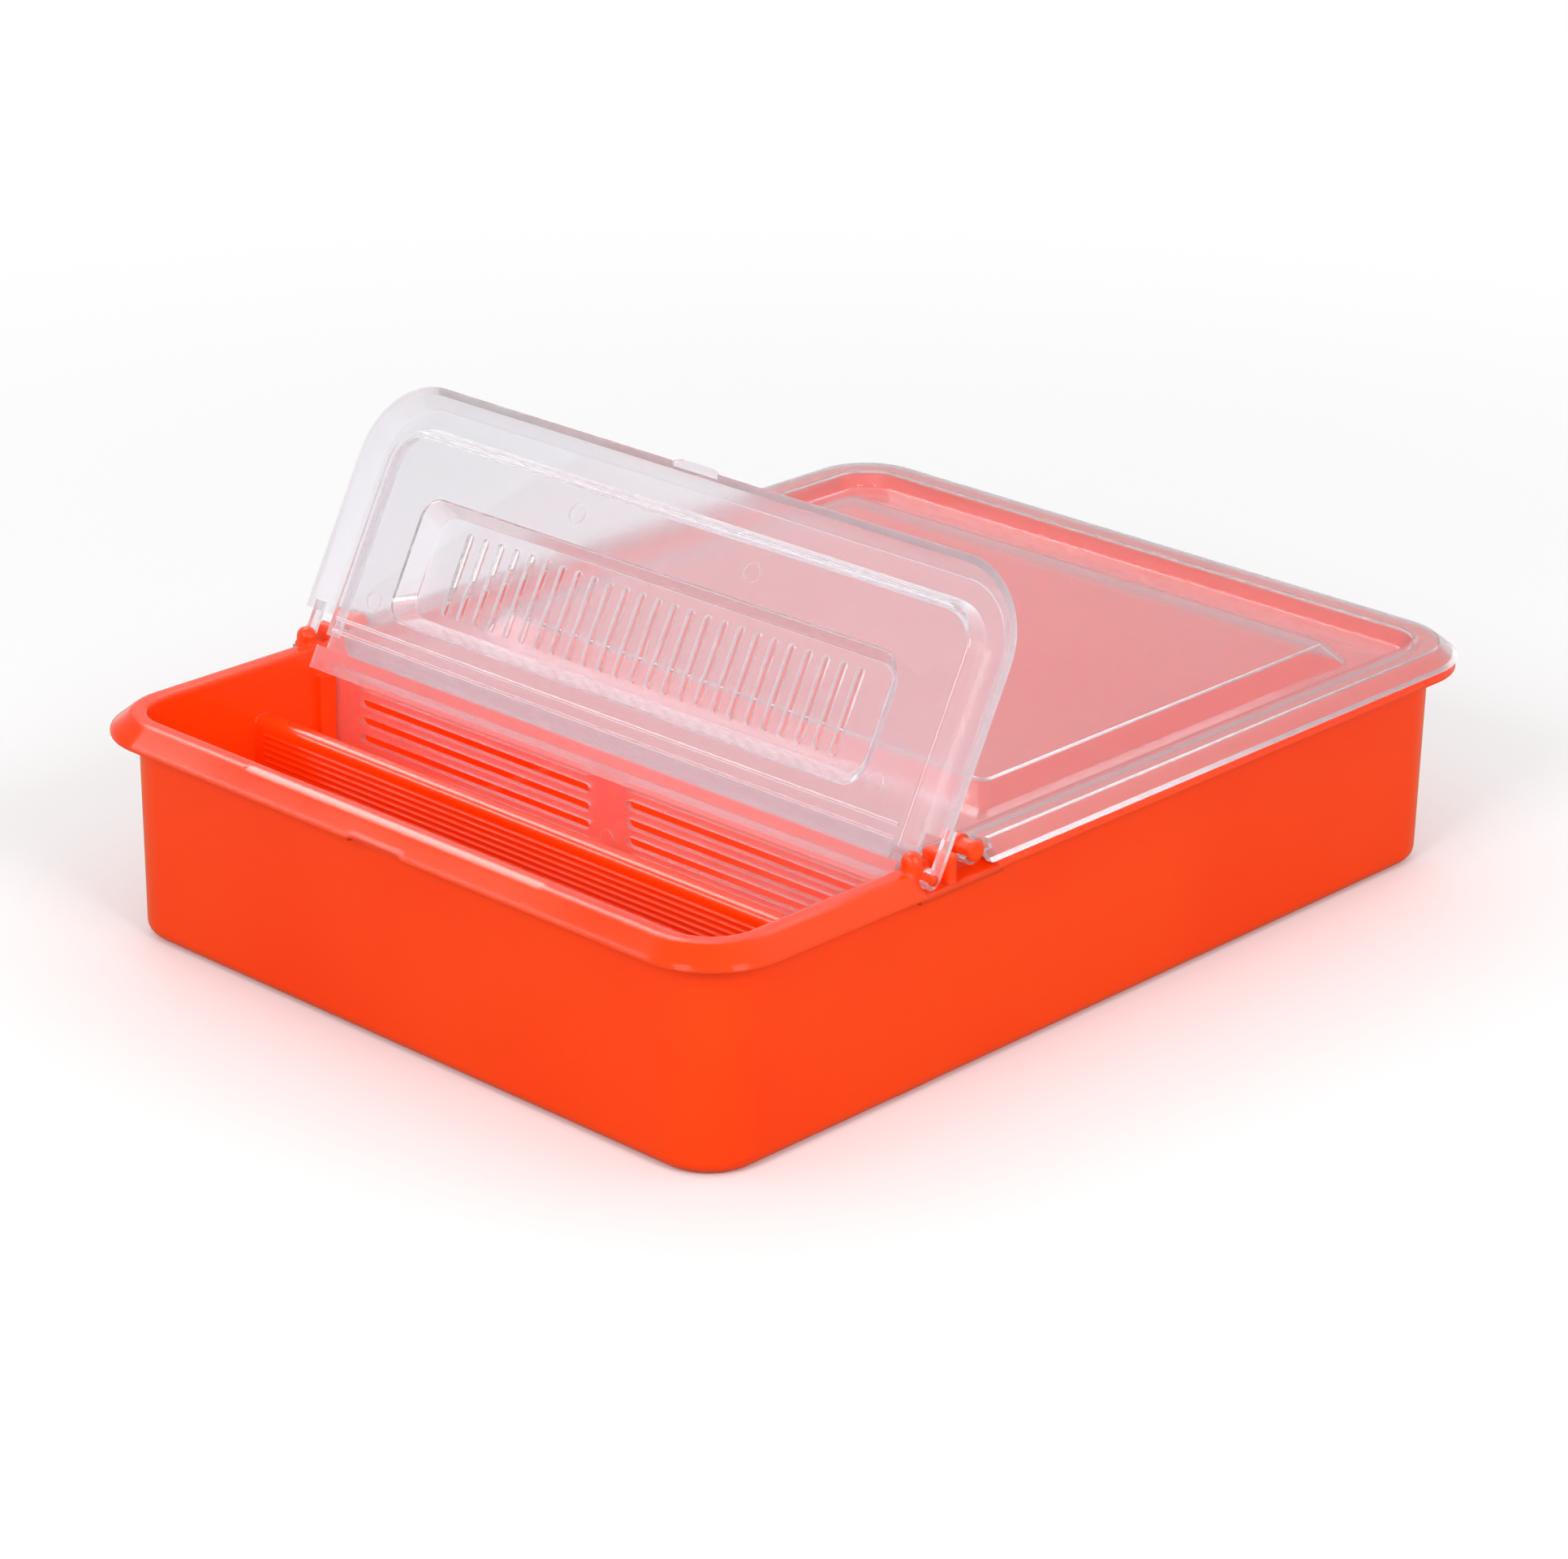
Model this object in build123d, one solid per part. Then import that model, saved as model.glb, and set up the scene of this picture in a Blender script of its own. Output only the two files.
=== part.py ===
from build123d import *
import math
import os

# Bee feeder: an open tub with a ridge wall, a slotted divider and two hinged lids.
# Millimetres. X runs across, Y from the flap end (-) to the back (+), Z up.
# The origin is the centre of the tub's underside.

# Tub shell
BASE_WIDTH = 177.0
BASE_LENGTH = 238.0
BASE_CORNER_R = 12.3
BASE_EDGE_R = 3.0
RIM_HEIGHT = 51.0
WALL_T = 2.0
FLOOR_T = 2.0
WALL_DRAFT = 0.5
INNER_EDGE_R = 2.0

# Rim: a flat top, then a flange that flares down and out to a small upright lip
RIM_LEDGE = 1.5
RIM_EDGE_R = 0.9
RIM_INNER_R = 0.7
FLARE_OUT = 4.5
FLARE_DROP = 3.65
FLANGE_T = 1.6
LIP_DEPTH = 1.0
LIP_EDGE_R = 0.4

# Front of the rim: an edge eased by a wide round, and a finger notch in the lip
GRIP_WIDTH = 88.0
GRIP_EASE = 0.95
GRIP_R = 4.2
NOTCH_WIDTH = 15.4
NOTCH_RISE = 0.9

# Ridge wall between the entrance chamber and the trough, with rungs for the bees
TROUGH_WIDTH = 17.3
RIDGE_T = 5.6
RIDGE_DROP = 11.5
RIDGE_TOP_R = 2.2
RIDGE_RUNG_R = 0.35
RIDGE_RUNG_PITCH = 1.5
RIDGE_RUNG_TOP = 3.4
RIDGE_RUNG_FOOT = 8.0
RIDGE_RUNG_INSET = 3.0

# Entrance slot in the floor of the chamber
ENTRANCE_SIDE = 12.0
ENTRANCE_WIDTH = 14.0

# Flap hinge, measured from the front of the base and from the rim
FLAP_PIVOT_IN = 56.9
FLAP_PIVOT_DROP = 1.4
FLAP_OPEN = 117.5
FLAP_PIN_R = 1.1
FLAP_BOSS_STEP = 1.3
FLAP_BOSS_REACH = 3.1
KNOB_R = 2.2
KNOB_RISE = 1.9
KNOB_AHEAD = 1.6
EAR_T = 1.6
EAR_WALL = 0.95
EAR_ARM_H = 2.0
EAR_SNAP = 0.5
EAR_GATE_ANGLE = 145.0

# Stop post behind the flap's arms
POST_T = 2.5
POST_RISE = 2.4
POST_EDGE_R = 0.6

# Rear lid hinge
LID_PIVOT_BEHIND = 13.1
LID_PIVOT_RISE = 1.0
LID_PIN_R = 1.9
LID_BOSS_STEP = 0.6
LID_BOSS_REACH = 1.1
LID_HEAD_STEP = 0.4
LID_HEAD_T = 0.8
LID_HEAD_EDGE_R = 0.4
HOOK_T = 2.6
HOOK_WALL = 1.1
HOOK_ROOT = 2.4
HOOK_GATE_FROM = 45.0
HOOK_GATE_TO = 205.0

# Fits
PIN_CLEAR = 0.06
SIDE_CLEAR = 0.4
POCKET_CLEAR = 0.4
ARM_CLEAR = 0.6
STOP_CLEAR = 0.12
LID_CLEAR = 0.35
PAN_CLEAR = 0.5
TAIL_CLEAR = 0.85
TAIL_GAP = 1.75
DIVIDER_CLEAR = 0.15

# Shelf under the hinge pocket
SHELF_T = 1.5

# Both lids: thin skirted covers with a sunk plate
LID_T = 1.1
LID_EDGE_R = 0.8
LID_LIP_LIFT = 1.55
PAN_DEPTH = 4.1
PAN_RUN = 1.4
PANEL_RISE = 4.5

# Front flap
FLAP_SIDE_GAP = 4.6
FLAP_TAIL = 4.0
FLAP_TAIL_BAR = 5.2
FLAP_TAIL_DROP = 0.4
FLAP_NOTCH_S = 2.8
FLAP_NOTCH_IN = 1.7
FLAP_RIDGE_R = 0.45
FLAP_RIDGES = (5.4, 8.2)
FLAP_PANEL_SIDE = 18.5
FLAP_PANEL_FRONT = 16.2
FLAP_PANEL_BACK = 11.3
FLAP_PANEL_CORNER_R = 5.0
FLAP_PANEL_RUN = 2.5
SLOT_PITCH = 4.79
SLOT_WIDTH = 1.7
SLOT_SIDE_MARGIN = 10.0
SLOT_FRONT_MARGIN = 2.8
SLOT_BACK_MARGIN = 2.7
TAB_WIDTH = 13.0
TAB_REACH = 0.8
TAB_T = 1.4
TAB_EASE = 2.5
MARK_R = 2.3
MARK_RING = 0.35
MARK_H = 0.25
FLAP_MARKS = ((62.9, 10.3), (14.4, 42.5))

# Rear lid
LID_SIDE_GAP = 1.0
LID_FRONT_BAR = 3.0
LID_PANEL_SIDE = 17.0
LID_PANEL_BACK = 23.5
LID_PANEL_FRONT = 28.0
LID_PANEL_CORNER_R = 2.0
LID_PANEL_RUN = 4.5

# Slotted divider in its guides
DIVIDER_BEHIND = 3.0
DIVIDER_T = 1.4
DIVIDER_TOP_GAP = 0.35
DIVIDER_SIDE_GAP = 0.6
DIVIDER_SLOT_H = 2.3
DIVIDER_SLOT_PITCH = 4.17
DIVIDER_SLOT_TOP = 2.1
DIVIDER_SLOT_FOOT = 3.0
DIVIDER_STRIP = 11.0
DIVIDER_END = 8.5
DIVIDER_MARK_DROP = 15.8
GUIDE_TOP_GAP = 0.5
GUIDE_FRONT_T = 4.6
GUIDE_BACK_T = 2.0
GUIDE_REACH = 1.5

# Levels and lines worked out from the sizes above
NEAR = 0.001
FLARE = FLARE_OUT / FLARE_DROP
FLARE_TILT = math.atan2(FLARE_DROP, FLARE_OUT)
WALL_SLOPE = math.tan(math.radians(WALL_DRAFT))
FRONT = -BASE_LENGTH / 2
BACK = BASE_LENGTH / 2
HALF_WIDTH = BASE_WIDTH / 2


def wall_out(z):
    """Growth of the wall's outer face over the base outline at a height."""
    return z * WALL_SLOPE


def wall_in(z):
    """Growth of the wall's inner face over the base outline at a height."""
    return wall_out(z) - WALL_T


# Rim
RIM_OUT = wall_out(RIM_HEIGHT) + RIM_LEDGE
LIP_OUT = RIM_OUT + FLARE_OUT
LIP_TOP = RIM_HEIGHT - FLARE_DROP
LIP_BOTTOM = LIP_TOP - LIP_DEPTH
INNER_HALF = HALF_WIDTH + wall_in(RIM_HEIGHT)
OUTER_HALF = HALF_WIDTH + wall_out(RIM_HEIGHT)
INNER_FRONT = FRONT - wall_in(RIM_HEIGHT)

# Lids
LID_UNDER = RIM_HEIGHT + LID_CLEAR
LID_TOP = LID_UNDER + LID_T
LID_LIP = LIP_TOP + LID_LIP_LIFT
LID_OUT = RIM_OUT + (LID_CLEAR + LID_T) * math.tan(FLARE_TILT / 2)
LID_LIP_OUT = LID_OUT + (LID_TOP - LID_LIP) * FLARE
PLATE_TOP = LID_TOP - PAN_DEPTH
PLATE_UNDER = PLATE_TOP - LID_T
PANEL_TOP = PLATE_TOP + PANEL_RISE
PANEL_UNDER = PANEL_TOP - LID_T
PAN_OUT = wall_in(RIM_HEIGHT) - PAN_CLEAR
PAN_HALF = HALF_WIDTH + PAN_OUT

# Flap hinge: the arms lie over the flange when shut and lean on the posts when open
FLAP_Y = FRONT + FLAP_PIVOT_IN
FLAP_Z = RIM_HEIGHT - FLAP_PIVOT_DROP
FLAP_LEAN = math.radians(180 - FLAP_OPEN)
FLAP_SIDE_END = FLAP_Y - KNOB_AHEAD - KNOB_R - FLAP_SIDE_GAP
EAR_X = OUTER_HALF + FLAP_BOSS_REACH + SIDE_CLEAR
EAR_END_R = FLAP_PIN_R + PIN_CLEAR + EAR_WALL
ARM_LOW = RIM_HEIGHT - (EAR_X - HALF_WIDTH - RIM_OUT) / FLARE + ARM_CLEAR
ARM_TOP = ARM_LOW + EAR_ARM_H
ARM_BACK = ARM_TOP - FLAP_Z
POST_TOP = RIM_HEIGHT + POST_RISE
POST_REACH = (POST_TOP - FLAP_Z + ARM_BACK * math.cos(FLAP_LEAN)) / math.tan(FLAP_LEAN)
POST_Y = FLAP_Y + POST_REACH + ARM_BACK * math.sin(FLAP_LEAN) + STOP_CLEAR
TAIL_SWING = math.hypot(FLAP_TAIL, FLAP_Z - PLATE_UNDER + FLAP_TAIL_DROP)

# Rear lid hinge
LID_Y = FLAP_Y + LID_PIVOT_BEHIND
LID_Z = RIM_HEIGHT + LID_PIVOT_RISE
LID_FRONT = FLAP_Y + TAIL_SWING + TAIL_GAP
LID_BOSS_R = LID_PIN_R + LID_BOSS_STEP
LID_SIDE_START = LID_Y + LID_BOSS_R + LID_SIDE_GAP
HOOK_X = OUTER_HALF + LID_BOSS_REACH + SIDE_CLEAR
HOOK_IN_R = LID_PIN_R + PIN_CLEAR
HOOK_OUT_R = HOOK_IN_R + HOOK_WALL
HOOK_BACK = LID_SIDE_START + HOOK_ROOT

# Pocket in the flange for both hinges
POCKET_FLOOR = min(FLAP_Z - EAR_END_R, LID_Z - HOOK_OUT_R) - POCKET_CLEAR
POCKET_FRONT = FLAP_Y - EAR_END_R - POCKET_CLEAR
POCKET_BACK = HOOK_BACK + POCKET_CLEAR

# Inside of the tub
DIVIDER_Y = FLAP_Y + DIVIDER_BEHIND
DIVIDER_TOP = FLAP_Z - math.sqrt(TAIL_SWING ** 2 - DIVIDER_BEHIND ** 2) - DIVIDER_TOP_GAP
GUIDE_TOP = FLAP_Z - TAIL_SWING - GUIDE_TOP_GAP
RIDGE_FRONT = DIVIDER_Y - TROUGH_WIDTH - RIDGE_T
RIDGE_HEIGHT = RIM_HEIGHT - RIDGE_DROP


def outline(grow, z):
    """The base outline grown outward and laid at a height."""
    shape = RectangleRounded(BASE_WIDTH + 2 * grow, BASE_LENGTH + 2 * grow, BASE_CORNER_R + grow)
    return Pos(0, 0, z) * shape


def tray(grow_low, z_low, grow_high, z_high):
    """A solid between two grown outlines."""
    return loft([outline(grow_low, z_low), outline(grow_high, z_high)], ruled=True)


def block(x0, x1, y0, y1, z0, z1):
    """A box between two corners."""
    middle = Pos((x0 + x1) / 2, (y0 + y1) / 2, (z0 + z1) / 2)
    return middle * Box(x1 - x0, y1 - y0, z1 - z0)


def rod(x0, x1, y, z, radius):
    """A round bar along X."""
    return Pos((x0 + x1) / 2, y, z) * Rot(0, 90, 0) * Cylinder(radius, x1 - x0)


def side_plate(points, x0, x1):
    """A plate of constant thickness along X from points in the YZ plane."""
    face = Plane.YZ.offset(x0) * make_face(Polyline(*points, close=True))
    return extrude(face, x1 - x0)


def mirrored(shape):
    """A shape and its mirror image on the other side."""
    return shape + mirror(shape, Plane.YZ)


def level_edges(shape, z):
    """Edges that lie at a height."""
    return shape.edges().filter_by(lambda e: abs(e.bounding_box().min.Z - z) < NEAR
                                   and abs(e.bounding_box().max.Z - z) < NEAR)


def rounded(shape, z, radius):
    """A shape with the edges at a height rounded."""
    return fillet(level_edges(shape, z), radius)


def rows(top, bottom, pitch):
    """Heights of a stack of rungs or slots from the top down."""
    return [top - index * pitch for index in range(int((top - bottom) / pitch) + 1)]


def frustum(x_half, y0, y1, z_low, z_high, run, corner_r):
    """A raised panel: a rounded rectangle at the foot that narrows by the run on every side."""
    centre = (y0 + y1) / 2
    foot = Pos(0, centre, z_low) * RectangleRounded(2 * x_half, y1 - y0, corner_r)
    crown = Pos(0, centre, z_high) * RectangleRounded(
        2 * (x_half - run), y1 - y0 - 2 * run, corner_r)
    return loft([foot, crown], ruled=True)


def tub_shell():
    """Floor, walls and flared rim."""
    shell = rounded(tray(0, 0, wall_out(RIM_HEIGHT), RIM_HEIGHT), 0, BASE_EDGE_R)
    flare = tray(LIP_OUT, LIP_TOP, RIM_OUT, RIM_HEIGHT) + tray(LIP_OUT, LIP_BOTTOM, LIP_OUT, LIP_TOP)
    flare = rounded(flare, RIM_HEIGHT, RIM_EDGE_R)
    flare = rounded(flare, LIP_TOP, LIP_EDGE_R)
    flare = rounded(flare, LIP_BOTTOM, LIP_EDGE_R)
    under_drop = FLANGE_T / math.cos(FLARE_TILT)
    under_top = RIM_HEIGHT - under_drop
    under_low = LIP_BOTTOM - LIP_DEPTH
    under_out = RIM_OUT + (under_top - under_low) * FLARE
    shell = shell + (flare - tray(under_out, under_low, RIM_OUT, under_top))
    above = RIM_HEIGHT + LIP_DEPTH
    hollow = tray(wall_in(FLOOR_T), FLOOR_T, wall_in(above), above)
    shell -= rounded(hollow, FLOOR_T, INNER_EDGE_R)
    inner = level_edges(shell, RIM_HEIGHT).filter_by(
        lambda e: all(abs(v.X) < OUTER_HALF and abs(v.Y) < BACK for v in e.vertices()))
    return fillet(inner, RIM_INNER_R)


def rim_grip():
    """Cutters for the eased front edge and for the finger notch in the lip."""
    half = FLARE_TILT / 2
    sink = GRIP_EASE * math.sin(half) + math.sqrt(GRIP_R ** 2 - (GRIP_EASE * math.cos(half)) ** 2)
    y = FRONT - RIM_OUT + sink * math.sin(half)
    z = RIM_HEIGHT - sink * math.cos(half)
    reach = GRIP_R + FLARE_DROP
    far = (y - reach * math.sin(FLARE_TILT), z + reach * math.cos(FLARE_TILT))
    ease = side_plate(((y, z), (y, z + reach), far), -GRIP_WIDTH / 2, GRIP_WIDTH / 2)
    ease -= rod(-GRIP_WIDTH, GRIP_WIDTH, y, z, GRIP_R)
    lip = FRONT - LIP_OUT
    notch = block(-NOTCH_WIDTH / 2, NOTCH_WIDTH / 2, lip - LIP_DEPTH, lip + LIP_DEPTH + FLANGE_T,
                  LIP_BOTTOM - LIP_DEPTH, LIP_BOTTOM + NOTCH_RISE)
    return ease + notch


def ridge():
    """The ridge wall with its rungs on the entrance side."""
    half = HALF_WIDTH + wall_in(RIDGE_HEIGHT) + WALL_T / 2
    wall = block(-half, half, RIDGE_FRONT, RIDGE_FRONT + RIDGE_T, FLOOR_T / 2, RIDGE_HEIGHT)
    crest = level_edges(wall, RIDGE_HEIGHT).filter_by(Axis.X)
    wall = fillet(crest, RIDGE_TOP_R)
    reach = INNER_HALF - RIDGE_RUNG_INSET
    for z in rows(RIDGE_HEIGHT - RIDGE_RUNG_TOP, FLOOR_T + RIDGE_RUNG_FOOT, RIDGE_RUNG_PITCH):
        wall += rod(-reach, reach, RIDGE_FRONT, z, RIDGE_RUNG_R)
    return wall


def guides():
    """Upright ribs on the right wall that hold the divider's end."""
    x0 = INNER_HALF - GUIDE_REACH
    x1 = INNER_HALF + WALL_T / 2
    face = DIVIDER_Y - DIVIDER_CLEAR
    rear = DIVIDER_Y + DIVIDER_T + DIVIDER_CLEAR
    front_rib = block(x0, x1, face - GUIDE_FRONT_T, face, FLOOR_T / 2, GUIDE_TOP)
    back_rib = block(x0, x1, rear, rear + GUIDE_BACK_T, FLOOR_T / 2, GUIDE_TOP)
    return front_rib + back_rib


def hinge_pocket():
    """Cutter that clears the flange for the flap's ear and for the lid's hook."""
    out = HALF_WIDTH + LIP_OUT + LIP_DEPTH
    return block(OUTER_HALF, out, POCKET_FRONT, POCKET_BACK, POCKET_FLOOR, RIM_HEIGHT + FLARE_DROP)


def hinge_shelf():
    """A shelf under the flange that closes the pocket from below."""
    return block(OUTER_HALF - WALL_T / 2, HALF_WIDTH + LIP_OUT - LIP_EDGE_R, POCKET_FRONT - SHELF_T,
                 POCKET_BACK + SHELF_T, POCKET_FLOOR - SHELF_T, POCKET_FLOOR)


def hinge_station():
    """Knob, flap pin, stop post and lid pin on the right side."""
    root = OUTER_HALF - WALL_T / 2
    knob_x = OUTER_HALF + FLAP_BOSS_REACH - KNOB_R
    knob_top = RIM_HEIGHT + KNOB_RISE
    knob = Pos(knob_x, FLAP_Y - KNOB_AHEAD, (POCKET_FLOOR + knob_top) / 2) * Cylinder(
        KNOB_R, knob_top - POCKET_FLOOR)
    knob += Pos(knob_x, FLAP_Y - KNOB_AHEAD, knob_top) * Sphere(KNOB_R)
    ear_end = EAR_X + EAR_T
    flap_pin = rod(root, EAR_X - SIDE_CLEAR, FLAP_Y, FLAP_Z, FLAP_PIN_R + FLAP_BOSS_STEP)
    flap_pin += rod(root, ear_end + SIDE_CLEAR, FLAP_Y, FLAP_Z, FLAP_PIN_R)
    post = block(INNER_HALF, ear_end, POST_Y, POST_Y + POST_T, POCKET_FLOOR, POST_TOP)
    post = rounded(post, POST_TOP, POST_EDGE_R)
    hook_end = HOOK_X + HOOK_T + SIDE_CLEAR
    lid_pin = rod(root, HOOK_X - SIDE_CLEAR, LID_Y, LID_Z, LID_BOSS_R)
    lid_pin += rod(root, hook_end, LID_Y, LID_Z, LID_PIN_R)
    head = rod(hook_end, hook_end + LID_HEAD_T, LID_Y, LID_Z, LID_PIN_R + LID_HEAD_STEP)
    head = fillet(head.edges().sort_by(Axis.X)[-1], LID_HEAD_EDGE_R)
    return knob + flap_pin + post + lid_pin + head


def entrance_slot():
    """Cutter for the slot that lets bees up through the floor."""
    length = 2 * (INNER_HALF - ENTRANCE_SIDE)
    middle = (INNER_FRONT + RIDGE_FRONT) / 2
    return Pos(0, middle, -FLOOR_T) * extrude(SlotOverall(length, ENTRANCE_WIDTH), 3 * FLOOR_T)


def make_tub():
    """The whole orange moulding."""
    tub = tub_shell() - rim_grip()
    tub = tub + mirrored(hinge_shelf()) - mirrored(hinge_pocket())
    tub = tub + ridge() + mirrored(guides()) + mirrored(hinge_station())
    return tub - entrance_slot()


def cover():
    """Skirt, top band and sunk plate over the whole rim, before it is cut into two lids."""
    cap = tray(LID_LIP_OUT, LID_LIP, LID_OUT, LID_TOP)
    cap = rounded(cap, LID_TOP, LID_EDGE_R)
    in_grow = RIM_OUT + LID_CLEAR * math.tan(FLARE_TILT / 2)
    inside = tray(in_grow + (LID_UNDER - LID_LIP + LID_T) * FLARE, LID_LIP - LID_T, in_grow, LID_UNDER)
    pan = tray(PAN_OUT - PAN_RUN, PLATE_UNDER, PAN_OUT, LID_UNDER + LID_T / 2)
    pan = rounded(pan, PLATE_UNDER, LID_EDGE_R)
    sink = tray(PAN_OUT - PAN_RUN - LID_T, PLATE_TOP, PAN_OUT - LID_T, LID_TOP + LID_T)
    sink = rounded(sink, PLATE_TOP, LID_EDGE_R)
    return cap - inside + pan - sink


def raised_panel(x_half, y0, y1, run, corner_r):
    """A panel pushed up out of the plate: the solid to add and the hollow to take away."""
    tilt = math.atan2(PANEL_RISE, run)
    inset = LID_T * math.tan(tilt / 2)
    shell = frustum(x_half, y0, y1, PLATE_TOP - LID_T / 2, PANEL_TOP, run, corner_r)
    shell = rounded(shell, PANEL_TOP, LID_EDGE_R)
    low = PLATE_UNDER - LID_T
    spread = (PLATE_UNDER - low) / PANEL_RISE * run
    hollow = frustum(x_half - inset + spread, y0 + inset - spread, y1 - inset + spread, low, PANEL_UNDER,
                     run + spread, corner_r)
    return shell, hollow


def ring_mark(x, y):
    """A raised ring left by an ejector, under the plate."""
    ring = Cylinder(MARK_R, 2 * MARK_H) - Cylinder(MARK_R - MARK_RING, 4 * MARK_H)
    return Pos(x, y, PLATE_UNDER) * ring


def vent_slots(x_half, y0, y1):
    """Cutters for the row of vent slots in the flap's panel."""
    half_row = x_half - SLOT_SIDE_MARGIN
    count = int(2 * half_row / SLOT_PITCH) + 1
    slots = Part()
    for index in range(count):
        x = (index - (count - 1) / 2) * SLOT_PITCH
        shape = Pos(x, (y0 + y1) / 2) * Rot(0, 0, 90) * SlotOverall(y1 - y0, SLOT_WIDTH)
        slots += Pos(0, 0, PANEL_UNDER - LID_T) * extrude(shape, 3 * LID_T)
    return slots


def flap_ear():
    """Arm and snap eye on the flap's right side, in the closed pose."""
    arm = block(EAR_X, EAR_X + EAR_T, FLAP_SIDE_END - 2 * LID_T, FLAP_Y, ARM_LOW, ARM_TOP)
    eye = rod(EAR_X, EAR_X + EAR_T, FLAP_Y, FLAP_Z, EAR_END_R)
    hole = rod(EAR_X - EAR_T, EAR_X + 2 * EAR_T, FLAP_Y, FLAP_Z, FLAP_PIN_R + PIN_CLEAR)
    gate_half = FLAP_PIN_R - EAR_SNAP / 2
    gate = block(EAR_X - EAR_T, EAR_X + 2 * EAR_T, FLAP_Y, FLAP_Y + 2 * EAR_END_R,
                 FLAP_Z - gate_half, FLAP_Z + gate_half)
    gate = gate.rotate(Axis((0, FLAP_Y, FLAP_Z), (1, 0, 0)), EAR_GATE_ANGLE + FLAP_OPEN)
    return arm + eye - hole - gate


def make_flap():
    """The front flap, built closed and then swung open to its stop."""
    tail = FLAP_Y + FLAP_TAIL
    far = FRONT - LIP_OUT - FLARE_OUT
    wide = HALF_WIDTH + LIP_OUT + FLARE_OUT
    high = PANEL_TOP + LID_T
    low = PLATE_UNDER - LID_T
    flap = cover() & block(-wide, wide, far, tail, low, high)
    flap -= mirrored(block(PAN_HALF, wide + LID_T, FLAP_SIDE_END, tail + LID_T, low, high))
    bar_y = tail - FLAP_TAIL_BAR
    notch_x = PAN_HALF - PAN_RUN - FLAP_NOTCH_IN
    flap -= mirrored(block(notch_x, wide, bar_y - FLAP_NOTCH_S, tail + LID_T, low, high))
    bar_half = INNER_HALF - TAIL_CLEAR
    flap += block(-bar_half, bar_half, bar_y, tail, PLATE_UNDER - FLAP_TAIL_DROP, PLATE_TOP)
    for s in FLAP_RIDGES:
        flap += rod(-notch_x, notch_x, FLAP_Y - s, PLATE_UNDER, FLAP_RIDGE_R)
    x_half = HALF_WIDTH - FLAP_PANEL_SIDE
    y0 = FRONT + FLAP_PANEL_FRONT
    y1 = FLAP_Y - FLAP_PANEL_BACK
    shell, hollow = raised_panel(x_half, y0, y1, FLAP_PANEL_RUN, FLAP_PANEL_CORNER_R)
    flap = flap + shell - hollow
    flap -= vent_slots(x_half - FLAP_PANEL_RUN, y0 + FLAP_PANEL_RUN + SLOT_FRONT_MARGIN,
                       y1 - FLAP_PANEL_RUN - SLOT_BACK_MARGIN)
    for side_in, front_in in FLAP_MARKS:
        flap += mirrored(ring_mark(HALF_WIDTH - side_in, FRONT + front_in))
    lip = FRONT - LID_LIP_OUT
    tab = make_face(Polyline((-TAB_WIDTH / 2, lip), (TAB_EASE - TAB_WIDTH / 2, lip - TAB_REACH),
                             (TAB_WIDTH / 2 - TAB_EASE, lip - TAB_REACH), (TAB_WIDTH / 2, lip),
                             (TAB_WIDTH / 2, lip + LID_T), (-TAB_WIDTH / 2, lip + LID_T), close=True))
    flap += Pos(0, 0, LID_LIP) * extrude(tab, TAB_T)
    flap += mirrored(flap_ear())
    return flap.rotate(Axis((0, FLAP_Y, FLAP_Z), (1, 0, 0)), -FLAP_OPEN)


def lid_hook():
    """Open hook on the rear lid's right side, round the lid pin."""
    x0 = HOOK_X
    x1 = HOOK_X + HOOK_T
    low = LID_Z - HOOK_OUT_R / 2
    arm = block(x0, x1, LID_Y, HOOK_BACK, low, LID_TOP)
    ring = rod(x0, x1, LID_Y, LID_Z, HOOK_OUT_R)
    hole = rod(x0 - LID_T, x1 + LID_T, LID_Y, LID_Z, HOOK_IN_R)
    start = math.radians(HOOK_GATE_FROM)
    stop = math.radians(HOOK_GATE_TO)
    reach = 3 * HOOK_OUT_R
    middle = (start + stop) / 2
    gate = side_plate([(LID_Y, LID_Z)] + [(LID_Y + reach * math.cos(a), LID_Z + reach * math.sin(a))
                                          for a in (start, middle, stop)], x0 - LID_T, x1 + LID_T)
    return arm + ring - hole - gate


def make_rear_lid():
    """The rear lid, closed on the tub."""
    far = BACK + LIP_OUT + FLARE_OUT
    wide = HALF_WIDTH + LIP_OUT + FLARE_OUT
    high = PANEL_TOP + LID_T
    low = PLATE_UNDER - LID_T
    lid = cover() & block(-wide, wide, LID_FRONT, far, low, high)
    lid -= mirrored(block(PAN_HALF, wide + LID_T, LID_FRONT - LID_T, LID_SIDE_START, low, high))
    bar_half = PAN_HALF - PAN_RUN - LID_T / 2
    lid += block(-bar_half, bar_half, LID_FRONT, LID_FRONT + LID_T, PLATE_UNDER, PLATE_TOP + LID_FRONT_BAR)
    shell, hollow = raised_panel(HALF_WIDTH - LID_PANEL_SIDE + LID_PANEL_RUN,
                                 LID_Y + LID_PANEL_FRONT - LID_PANEL_RUN,
                                 BACK - LID_PANEL_BACK + LID_PANEL_RUN, LID_PANEL_RUN, LID_PANEL_CORNER_R)
    return lid + shell - hollow + mirrored(lid_hook())


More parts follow.
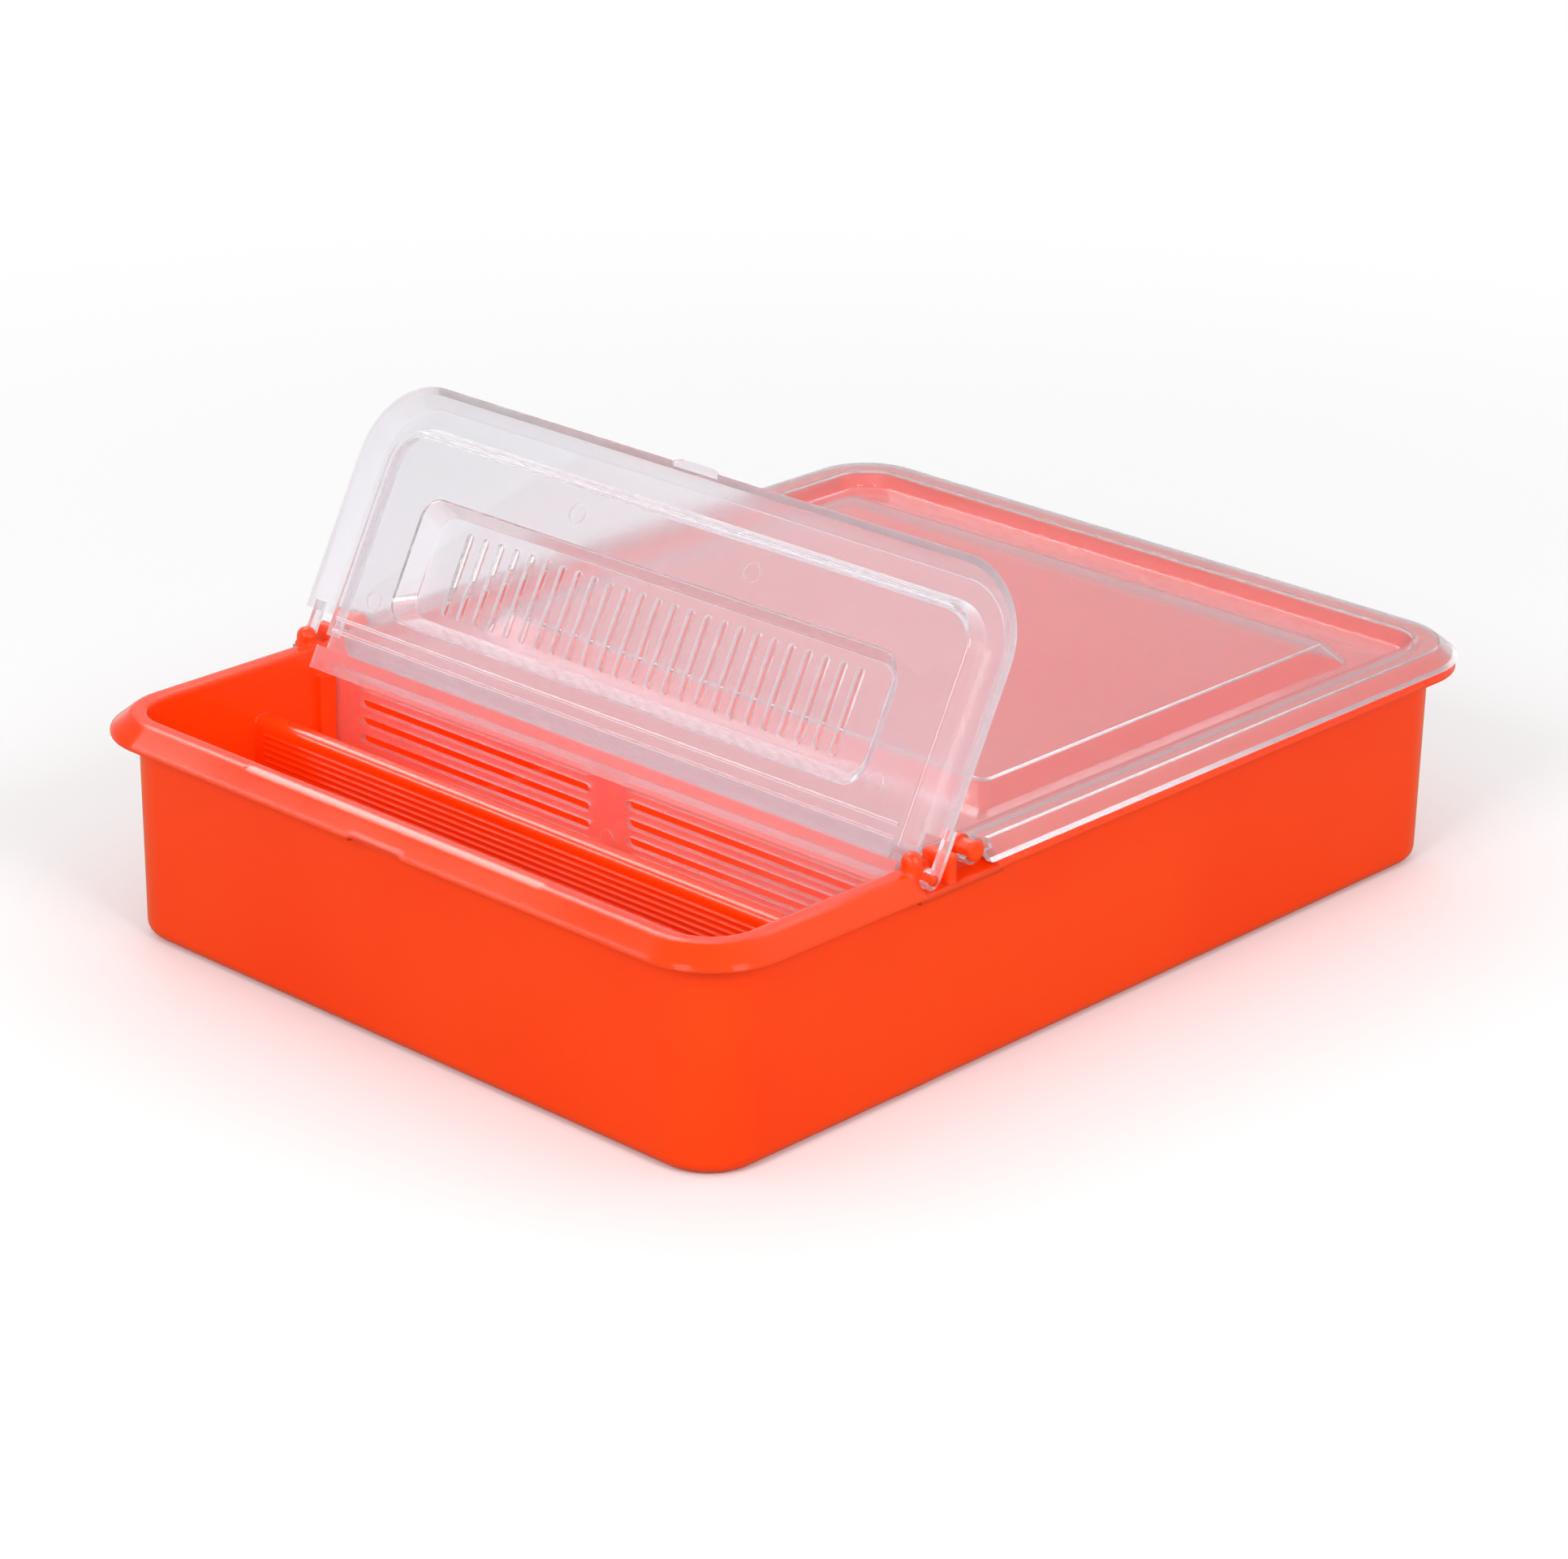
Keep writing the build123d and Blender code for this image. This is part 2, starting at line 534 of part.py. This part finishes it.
def make_divider():
    """The clear panel across the tub, with two columns of long slots beside a plain middle strip."""
    half = INNER_HALF - DIVIDER_SIDE_GAP
    panel = block(-half, half, DIVIDER_Y, DIVIDER_Y + DIVIDER_T, FLOOR_T, DIVIDER_TOP)
    corners = panel.edges().filter_by(Axis.Y).group_by(Axis.Z)[0]
    panel = chamfer(corners, INNER_EDGE_R + DIVIDER_CLEAR)
    start = DIVIDER_STRIP / 2
    length = half - DIVIDER_END - start
    slot = extrude(Plane.XZ * SlotOverall(length, DIVIDER_SLOT_H), 2 * DIVIDER_T, both=True)
    for z in rows(DIVIDER_TOP - DIVIDER_SLOT_TOP, FLOOR_T + DIVIDER_SLOT_FOOT, DIVIDER_SLOT_PITCH):
        panel -= mirrored(Pos(start + length / 2, DIVIDER_Y, z) * slot)
    ring = Cylinder(MARK_R, 2 * MARK_H) - Cylinder(MARK_R - MARK_RING, 4 * MARK_H)
    return panel + Pos(0, DIVIDER_Y, DIVIDER_TOP - DIVIDER_MARK_DROP) * Rot(90, 0, 0) * ring


os.makedirs("parts", exist_ok=True)
export_step(make_tub(), "parts/tub.step")
export_step(make_flap(), "parts/front_flap.step")
export_step(make_rear_lid(), "parts/rear_lid.step")
export_step(make_divider(), "parts/divider.step")
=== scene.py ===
# %% [markdown]
# A bee feeder: a shallow tub for syrup with see-through lids. It has four moulded pieces: an orange tub, a
# clear front flap with vent slots, a clear rear lid and a clear slotted divider. The solids come from the
# frame. This lesson shows them as they look in a studio: a camera, a pale floor, soft lamps, and then one
# finish for each plastic.

# %% Load the frame
import math

import bpy
from mathutils import Matrix, Quaternion, Vector

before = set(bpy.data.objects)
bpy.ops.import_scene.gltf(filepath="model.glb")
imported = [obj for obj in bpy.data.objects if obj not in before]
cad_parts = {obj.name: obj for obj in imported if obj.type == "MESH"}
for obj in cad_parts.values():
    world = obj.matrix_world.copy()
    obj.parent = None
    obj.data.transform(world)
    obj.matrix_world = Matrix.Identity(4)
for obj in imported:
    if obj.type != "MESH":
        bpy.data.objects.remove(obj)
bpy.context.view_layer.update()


# %% [markdown]
# The camera comes first. It looks down at the flap corner from the right, about 22 degrees above the table.
# A long lens from a metre away keeps the tub's edges nearly parallel. It is aimed at the middle of the feeder
# and has no lens shift, so every other view is centred too.

# %% Camera
CAMERA_AT = Vector((0.6497, -0.7053, 0.4155))
CAMERA_AIM = Vector((0.0010, -0.0054, 0.0281))
CAMERA_LENS = 107.6
CAMERA_ROLL = math.radians(0.94)

camera_data = bpy.data.cameras.new("feeder_camera")
camera_data.lens = CAMERA_LENS
camera_data.sensor_width = 36.0
camera = bpy.data.objects.new("feeder_camera", camera_data)
bpy.context.scene.collection.objects.link(camera)
camera.location = CAMERA_AT
camera.rotation_mode = "QUATERNION"
facing = (CAMERA_AIM - CAMERA_AT).to_track_quat("-Z", "Y")
camera.rotation_quaternion = facing @ Quaternion((0, 0, 1), CAMERA_ROLL)
bpy.context.scene.camera = camera
print("camera distance:", round((CAMERA_AIM - CAMERA_AT).length, 3), "m")


# %% [markdown]
# Finishes are node trees. A few helpers keep the wiring short: `place` adds a node and sets its values by
# name, `feed` gives a socket a number or a link, `sums` is one step of arithmetic, `span` maps one range of
# values onto another and `blend_of` mixes two colours. A finish then reads like a recipe.

# %% Wiring helpers
MIX_FIRST, MIX_SECOND, MIX_RESULT = 6, 7, 2


def place(tree, kind, **values):
    """A shader node with its sockets or settings given by name."""
    node = tree.nodes.new(kind)
    for key, value in values.items():
        label = key.replace("_", " ")
        if label in node.inputs:
            feed(tree, node.inputs[label], value)
        else:
            setattr(node, key, value)
    return node


def feed(tree, target, value):
    """A link from another socket, or a plain value."""
    if isinstance(value, bpy.types.NodeSocket):
        tree.links.new(value, target)
    else:
        target.default_value = value


def sums(tree, operation, *terms):
    """One step of arithmetic on numbers and sockets."""
    node = place(tree, "ShaderNodeMath", operation=operation)
    for target, term in zip(node.inputs, terms):
        feed(tree, target, term)
    return node.outputs[0]


def span(tree, value, low, high, to_low, to_high, smooth=False):
    """One range of values mapped onto another."""
    node = place(tree, "ShaderNodeMapRange", Value=value, From_Min=low, From_Max=high,
                 To_Min=to_low, To_Max=to_high)
    node.interpolation_type = "SMOOTHSTEP" if smooth else "LINEAR"
    return node.outputs["Result"]


def blend_of(tree, amount, first, second):
    """Two colours mixed by an amount from 0 to 1."""
    node = place(tree, "ShaderNodeMix", data_type="RGBA")
    feed(tree, node.inputs["Factor"], amount)
    feed(tree, node.inputs[MIX_FIRST], first)
    feed(tree, node.inputs[MIX_SECOND], second)
    return node.outputs[MIX_RESULT]


def new_finish(name):
    """An empty material and its output node."""
    finish = bpy.data.materials.new(name)
    finish.use_nodes = True
    finish.node_tree.nodes.clear()
    return finish, finish.node_tree, finish.node_tree.nodes.new("ShaderNodeOutputMaterial")


print("helpers ready")


# %% [markdown]
# The stage is a pale floor that fades into a white surround, so no horizon shows. The camera sees white
# paper, and the clear walls see it a shade greyer, so they stand out from it. Near the feeder, the light that
# the floor throws back is warm and low, so the orange walls keep their depth. Shiny faces see a dim room with
# a white horizon at the back, which keeps the outlines of the clear pieces light.

# %% Floor and surround
FLOOR_SIZE = 12.0
FLOOR_DROP = 0.0003
FLOOR_FADE = (0.16, 0.60)
WARM_FADE = (0.26, 0.50)
PAPER = (0.96, 0.96, 0.96, 1)
WARM = (0.52, 0.35, 0.18, 1)
AMBIENT = 0.76
ROOM_FRONT = 0.22
ROOM_BACK = 0.60
HORIZON = (0.10, 0.34)
FRONT_TO_BACK = (-0.2, 0.6)
THROUGH_CLEAR = 0.76

bpy.ops.object.select_all(action="DESELECT")
bpy.ops.mesh.primitive_plane_add(size=FLOOR_SIZE, location=(0, 0, -FLOOR_DROP))
floor = bpy.context.active_object
floor.name = "floor"

paper, tree, output = new_finish("floor_paper")
path = place(tree, "ShaderNodeLightPath")
seen = sums(tree, "MAXIMUM", path.outputs["Is Camera Ray"], path.outputs["Is Transmission Ray"])
away = place(tree, "ShaderNodeVectorMath", operation="LENGTH")
feed(tree, away.inputs[0], place(tree, "ShaderNodeTexCoord").outputs["Object"])
near = span(tree, away.outputs["Value"], *WARM_FADE, 1, 0, smooth=True)
warmth = sums(tree, "MULTIPLY", near, sums(tree, "SUBTRACT", 1.0, seen))
sheet = place(tree, "ShaderNodeBsdfPrincipled", Base_Color=blend_of(tree, warmth, PAPER, WARM), Roughness=0.8)
white = span(tree, path.outputs["Is Transmission Ray"], 0, 1, 1, THROUGH_CLEAR)
glow = place(tree, "ShaderNodeEmission", Color=(1, 1, 1, 1), Strength=white)
fade = span(tree, away.outputs["Value"], *FLOOR_FADE, 0, 1, smooth=True)
lit = sums(tree, "MAXIMUM", seen, path.outputs["Is Glossy Ray"])
join = place(tree, "ShaderNodeMixShader", Fac=sums(tree, "MULTIPLY", fade, lit))
feed(tree, join.inputs[1], sheet.outputs[0])
feed(tree, join.inputs[2], glow.outputs[0])
feed(tree, output.inputs["Surface"], join.outputs[0])
floor.data.materials.append(paper)

surround = bpy.data.worlds.new("surround")
bpy.context.scene.world = surround
surround.use_nodes = True
tree = surround.node_tree
tree.nodes.clear()
path = place(tree, "ShaderNodeLightPath")
aim = place(tree, "ShaderNodeSeparateXYZ", Vector=place(tree, "ShaderNodeTexCoord").outputs["Generated"])
behind = span(tree, aim.outputs["Z"], *HORIZON, 1, ROOM_BACK, smooth=True)
room = span(tree, aim.outputs["Y"], *FRONT_TO_BACK, ROOM_FRONT, behind)
level = span(tree, path.outputs["Is Glossy Ray"], 0, 1, AMBIENT, room)
level = span(tree, path.outputs["Is Transmission Ray"], 0, 1, level, THROUGH_CLEAR)
level = span(tree, path.outputs["Is Camera Ray"], 0, 1, level, 1)
sky = place(tree, "ShaderNodeBackground", Color=(1, 1, 1, 1), Strength=level)
feed(tree, place(tree, "ShaderNodeOutputWorld").inputs["Surface"], sky.outputs[0])
print("floor", FLOOR_SIZE, "m wide, ambient", AMBIENT)


# %% [markdown]
# Two soft boxes light the walls, one in front and one at the right. Three panels hang over the left side, the
# back and the near left corner. They show only as gloss: they draw the bright lines along rounded edges. The
# clear walls let the lamps' light straight through, so rays that pass a wall don't see the lamps as well, or
# it would count twice.

# %% Lamps
def soft_box(name, at, width, length, along, watts, lights=True):
    """A rectangular lamp that faces the feeder, with its length along a direction."""
    data = bpy.data.lights.new(name, "AREA")
    data.shape = "RECTANGLE"
    data.size = width
    data.size_y = length
    data.energy = watts
    lamp = bpy.data.objects.new(name, data)
    bpy.context.scene.collection.objects.link(lamp)
    lamp.visible_transmission = False
    lamp.visible_diffuse = lights
    back = (Vector(at) - CAMERA_AIM).normalized()
    across = Vector(along).cross(back).normalized()
    turn = Matrix((across, back.cross(across), back)).transposed()
    lamp.matrix_world = Matrix.Translation(at) @ turn.to_4x4()


BOX_SIDE, BOX_WATTS = 0.42, 6.7
soft_box("front_box", (0.25, -1.25, 0.75), BOX_SIDE, BOX_SIDE, (0, 0, 1), BOX_WATTS)
soft_box("right_box", (1.25, -0.25, 0.75), BOX_SIDE, BOX_SIDE, (0, 0, 1), BOX_WATTS)
soft_box("left_panel", (-0.98, 0.42, 1.14), 0.62, 0.90, (0, -0.93, 0.36), 11.5, lights=False)
soft_box("back_panel", (-0.15, 1.06, 1.08), 0.40, 0.80, (1, 0, 0), 2.4, lights=False)
soft_box("corner_panel", (-0.98, -0.72, 1.00), 0.50, 0.34, (0, -0.55, -0.5), 4.0, lights=False)


# %% [markdown]
# Three effects are shared by the plastics. Melt that cools in a mould leaves slow waves and a faint grain, so
# `mould_flow` gives a cloud for the colour and a height for the skin. No moulded edge is quite sharp, so
# `eased_edges` rounds the light on it and marks it. Handling leaves `hairline_scuffs`: thin curved lines where
# a slow pattern crosses its middle value, kept only in patches.

# %% Shared effects
def new_effect(name, inputs, outputs):
    """A shader node group with named sockets."""
    group = bpy.data.node_groups.new(name, "ShaderNodeTree")
    for label, kind, value in inputs:
        socket = group.interface.new_socket(name=label, in_out="INPUT", socket_type=kind)
        if value is not None:
            socket.default_value = value
    for label, kind in outputs:
        group.interface.new_socket(name=label, in_out="OUTPUT", socket_type=kind)
    return group, group.nodes.new("NodeGroupInput"), group.nodes.new("NodeGroupOutput")


def effect(tree, group, **values):
    """A shared effect placed in a finish."""
    node = tree.nodes.new("ShaderNodeGroup")
    node.node_tree = group
    for key, value in values.items():
        feed(tree, node.inputs[key.replace("_", " ")], value)
    return node


flow, given, made = new_effect(
    "mould_flow",
    [("Vector", "NodeSocketVector", None), ("Wave Size", "NodeSocketFloat", 18.0),
     ("Grain Size", "NodeSocketFloat", 900.0)],
    [("Cloud", "NodeSocketFloat"), ("Height", "NodeSocketFloat")])
wave = place(flow, "ShaderNodeTexNoise", Vector=given.outputs["Vector"], Scale=given.outputs["Wave Size"],
             Detail=2.0, Roughness=0.4)
grain = place(flow, "ShaderNodeTexNoise", Vector=given.outputs["Vector"], Scale=given.outputs["Grain Size"],
              Detail=2.0, Roughness=0.5)
feed(flow, made.inputs["Cloud"], span(flow, wave.outputs["Fac"], 0.3, 0.7, 0, 1, smooth=True))
feed(flow, made.inputs["Height"], sums(flow, "MULTIPLY_ADD", grain.outputs["Fac"], 0.02, wave.outputs["Fac"]))

easing, given, made = new_effect(
    "eased_edges", [("Radius", "NodeSocketFloat", 0.0007)],
    [("Edge", "NodeSocketFloat"), ("Normal", "NodeSocketVector")])
ease = place(easing, "ShaderNodeBevel", samples=4, Radius=given.outputs["Radius"])
turned = place(easing, "ShaderNodeVectorMath", operation="DOT_PRODUCT")
feed(easing, turned.inputs[0], ease.outputs["Normal"])
feed(easing, turned.inputs[1], place(easing, "ShaderNodeNewGeometry").outputs["Normal"])
feed(easing, made.inputs["Edge"], span(easing, turned.outputs["Value"], 0.99, 0.80, 0, 1))
feed(easing, made.inputs["Normal"], ease.outputs["Normal"])

scuffs, given, made = new_effect(
    "hairline_scuffs", [("Vector", "NodeSocketVector", None)], [("Scuff", "NodeSocketFloat")])
curve = place(scuffs, "ShaderNodeTexNoise", Vector=given.outputs["Vector"], Scale=55.0, Detail=1.0)
off = sums(scuffs, "ABSOLUTE", sums(scuffs, "SUBTRACT", curve.outputs["Fac"], 0.5))
patch = place(scuffs, "ShaderNodeTexNoise", Vector=given.outputs["Vector"], Scale=31.0, Detail=0.0)
kept = span(scuffs, patch.outputs["Fac"], 0.54, 0.64, 0, 1)
feed(scuffs, made.inputs["Scuff"], sums(scuffs, "MULTIPLY", span(scuffs, off, 0.002, 0.006, 1, 0), kept))
print("effects:", [g.name for g in bpy.data.node_groups])


# %% [markdown]
# The tub is glossy orange polypropylene from one shot of an injection mould. Its colour drifts a little with
# the flow, the gloss is not quite even, and hairlines dull it. The foot rubs on whatever the tub stands on, so
# it is paler and duller, and handling has paled the edges by a trace. The rim is rounder than the other edges.

# %% Orange polypropylene
DEEP_ORANGE = (0.965, 0.045, 0.001, 1)
LIGHT_ORANGE = (0.985, 0.055, 0.002, 1)
RUBBED_ORANGE = (0.98, 0.13, 0.05, 1)
ORANGE_DULLNESS = (0.11, 0.16)
SCUFF_DULLNESS = 0.03
FOOT_BAND = (-0.0015, 0.0012)
RIM_BAND = (0.0445, 0.0465)
EDGE_RADIUS, RIM_RADIUS = 0.0006, 0.0016
PLASTIC_IOR = 1.49
SKIN_DEPTH = 0.002

orange_moulding, tree, output = new_finish("orange_moulding")
spot = place(tree, "ShaderNodeTexCoord").outputs["Object"]
melt = effect(tree, flow, Vector=spot)
worn = effect(tree, scuffs, Vector=spot)
height = place(tree, "ShaderNodeSeparateXYZ", Vector=spot).outputs["Z"]
foot = span(tree, sums(tree, "MULTIPLY_ADD", melt.outputs["Height"], -0.003, height), *FOOT_BAND, 1, 0)
edges = effect(tree, easing, Radius=span(tree, height, *RIM_BAND, EDGE_RADIUS, RIM_RADIUS))
tone = blend_of(tree, melt.outputs["Cloud"], DEEP_ORANGE, LIGHT_ORANGE)
rubbed = sums(tree, "MAXIMUM", foot, sums(tree, "MULTIPLY", edges.outputs["Edge"], 0.4))
tone = blend_of(tree, sums(tree, "MULTIPLY", rubbed, 0.15), tone, RUBBED_ORANGE)
dull = span(tree, melt.outputs["Cloud"], 0, 1, *ORANGE_DULLNESS)
dull = sums(tree, "MULTIPLY_ADD", worn.outputs["Scuff"], SCUFF_DULLNESS, dull)
dull = sums(tree, "MULTIPLY_ADD", foot, 0.15, dull)
skin = place(tree, "ShaderNodeBump", Strength=0.08, Distance=SKIN_DEPTH, Height=melt.outputs["Height"],
             Normal=edges.outputs["Normal"])
plastic = place(tree, "ShaderNodeBsdfPrincipled", Base_Color=tone, Roughness=dull, IOR=PLASTIC_IOR,
                Normal=skin.outputs["Normal"])
feed(tree, output.inputs["Surface"], plastic.outputs[0])
print(orange_moulding.name, "ready")


# %% [markdown]
# The lids and the divider are natural polypropylene: clear with a little milk in it. What lies right behind a
# wall shows sharply and what lies far behind it blurs, so the walls refract with some roughness. A part of the
# light goes straight through. Bends and edges are painted whiter, a painted highlight that stands in for the
# light they scatter and reflect. Lamps' shadows pass through.

# %% Clear polypropylene
# The first colour is a painted highlight: bends and edges are mixed towards it.
EDGE_HIGHLIGHT_WHITE = (0.97, 0.95, 1.0, 1)
LETS_BY = (0.96, 0.96, 0.96, 1)
BEND_RADIUS = 0.0007


def clear_finish(name, milk, clearness, blur, cover, painted_highlight):
    """Milky see-through plastic, with a painted highlight that whitens its bends and edges."""
    finish, tree, output = new_finish(name)
    spot = place(tree, "ShaderNodeTexCoord").outputs["Object"]
    melt = effect(tree, flow, Vector=spot)
    worn = effect(tree, scuffs, Vector=spot)
    edges = effect(tree, easing, Radius=BEND_RADIUS)
    # Painted highlight: bends and edges are mixed towards white by the edge mask.
    tone = blend_of(tree, sums(tree, "MULTIPLY", edges.outputs["Edge"], painted_highlight), milk, EDGE_HIGHLIGHT_WHITE)
    dull = span(tree, melt.outputs["Cloud"], 0, 1, blur, blur * 1.3)
    dull = sums(tree, "MULTIPLY_ADD", worn.outputs["Scuff"], SCUFF_DULLNESS, dull)
    skin = place(tree, "ShaderNodeBump", Strength=0.004, Distance=SKIN_DEPTH, Height=melt.outputs["Height"])
    wall = place(tree, "ShaderNodeBsdfPrincipled", Base_Color=tone, Roughness=dull, IOR=PLASTIC_IOR, Alpha=cover,
                 Transmission_Weight=clearness, Normal=skin.outputs["Normal"])
    open_air = place(tree, "ShaderNodeBsdfTransparent", Color=LETS_BY)
    shadow = place(tree, "ShaderNodeLightPath").outputs["Is Shadow Ray"]
    gate = place(tree, "ShaderNodeMixShader", Fac=shadow)
    feed(tree, gate.inputs[1], wall.outputs[0])
    feed(tree, gate.inputs[2], open_air.outputs[0])
    feed(tree, output.inputs["Surface"], gate.outputs[0])
    print(name, "ready")
    return finish


# The three walls are one plastic; the lid's milk is painted darker than the flap's, a painted shade for the
# stronger light on the lid.
flap_milk = clear_finish("flap_milk", (0.89, 0.875, 0.92, 1), 0.89, 0.10, 0.91, 0.8)
lid_milk = clear_finish("lid_milk", (0.73, 0.72, 0.755, 1), 0.89, 0.09, 0.92, 0.4)
divider_milk = clear_finish("divider_milk", (0.96, 0.95, 0.98, 1), 0.92, 0.05, 0.65, 0.6)


# %% [markdown]
# Each piece gets its finish. Light has to bounce many times to fill the tub under its lids, and to find its
# way through several clear walls, so the bounce limits are raised.

# %% Give the pieces their finishes
FINISHES = {"tub": orange_moulding, "front_flap": flap_milk, "rear_lid": lid_milk, "divider": divider_milk}
for node, finish in FINISHES.items():
    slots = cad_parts[node].data.materials
    slots.clear()
    slots.append(finish)
    print(node, "->", finish.name)

scene = bpy.context.scene
scene.view_settings.view_transform = "Standard"
scene.cycles.max_bounces = 24
scene.cycles.diffuse_bounces = 12
scene.cycles.glossy_bounces = 8
scene.cycles.transmission_bounces = 16
scene.cycles.transparent_max_bounces = 32
